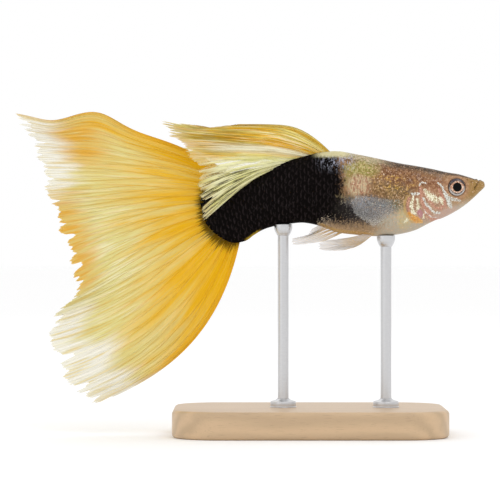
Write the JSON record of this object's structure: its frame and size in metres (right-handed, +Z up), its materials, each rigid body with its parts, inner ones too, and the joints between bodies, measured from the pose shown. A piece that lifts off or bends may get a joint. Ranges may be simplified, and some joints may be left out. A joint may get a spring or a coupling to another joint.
{
  "type": "fancy guppy on a display stand",
  "caption": "Life-size male fancy guppy with a yellow veil tail, folded dorsal fin and black rear body, swimming pose, held over a small base by slim rods.",
  "frame": {"origin": "middle of the underside of the model's bounding box, on the surface that the stand rests on", "axes": "+X from the tail towards the snout, +Y towards the fish's left side, +Z up towards its back"},
  "size_m": [0.0513, 0.02, 0.0354],
  "materials": {
    "skin": "moist scaled skin",
    "dark_skin": "moist black scaled skin",
    "eye": "clear glossy cornea over a silvery iris",
    "yellow_fin": "translucent rayed membrane",
    "clear_fin": "clear rayed membrane",
    "base": "satin pale wood",
    "rod": "brushed"
  },
  "bodies": {
    "root": {"head": "skin", "lower_jaw": "skin", "gill_cover_right": "skin", "gill_cover_left": "skin", "torso": "skin", "tail_stalk": "dark_skin", "eye_right": "eye", "eye_left": "eye", "caudal_fin": "yellow_fin", "dorsal_fin": "yellow_fin", "anal_fin": "clear_fin", "pelvic_fin_right": "clear_fin", "pelvic_fin_left": "clear_fin", "pectoral_fin_right": "clear_fin", "pectoral_fin_left": "clear_fin", "stand_base": "base", "stand_rod_front": "rod", "stand_rod_rear": "rod"}
  },
  "joints": []
}
